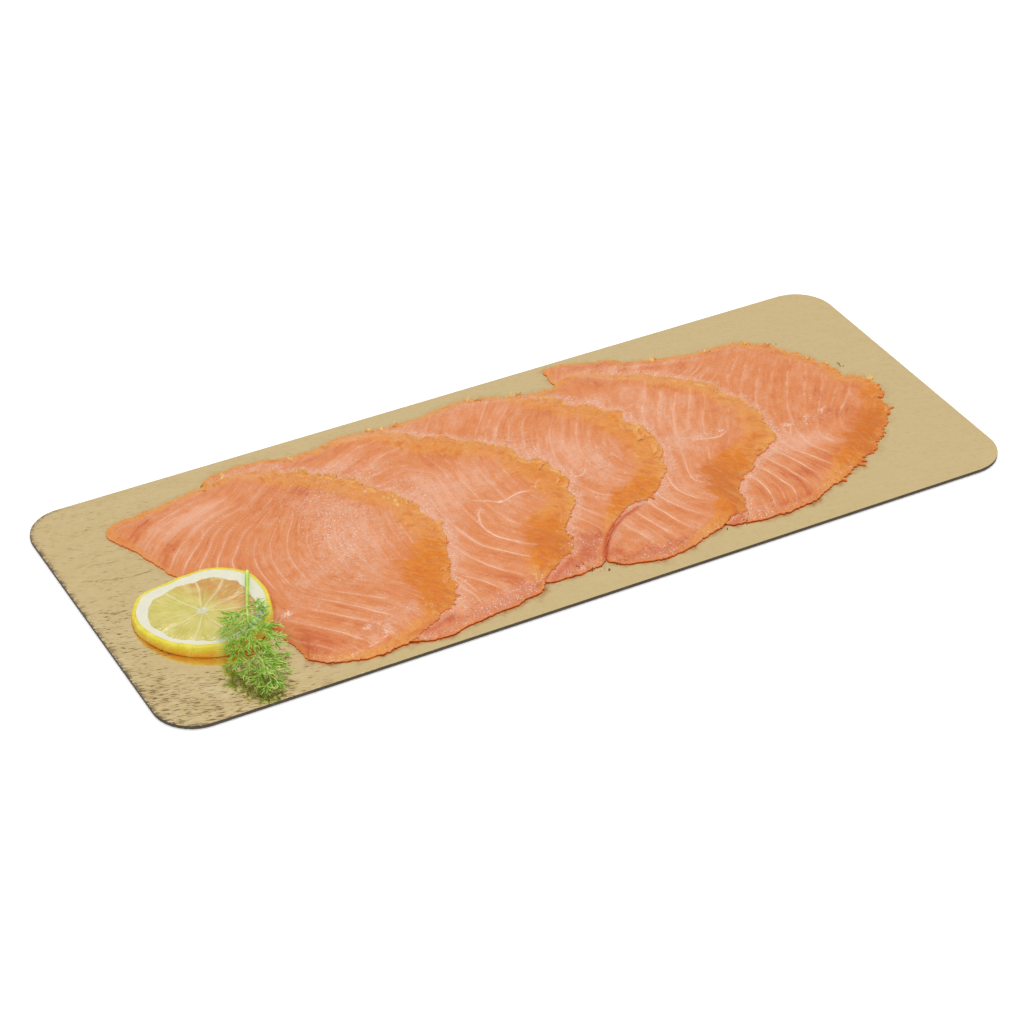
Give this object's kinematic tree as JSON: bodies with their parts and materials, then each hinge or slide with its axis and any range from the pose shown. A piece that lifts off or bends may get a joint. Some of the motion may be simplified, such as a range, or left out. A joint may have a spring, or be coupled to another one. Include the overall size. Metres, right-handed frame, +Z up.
{
  "type": "smoked salmon slices on a card board",
  "caption": "Smoked salmon slices fanned along a gold-faced card board, each overlapping the next, with a lemon slice and a sprig of dill at one end.",
  "frame": {"origin": "centre of the board's underside, on the surface that it lies on", "axes": "+X along the board's length, from the lemon end to the other; +Y across the board, away from the edge that the dill hangs towards; +Z up"},
  "size_m": [0.4, 0.165, 0.0167],
  "materials": {
    "gold_card": "satin",
    "salmon": "satin",
    "lemon": "satin",
    "dill": "matte"
  },
  "bodies": {
    "root": {"board": "gold_card", "salmon_slice_1": "salmon", "salmon_slice_2": "salmon", "salmon_slice_3": "salmon", "salmon_slice_4": "salmon", "salmon_slice_5": "salmon", "lemon_slice": "lemon", "dill_sprig": "dill"}
  },
  "joints": []
}
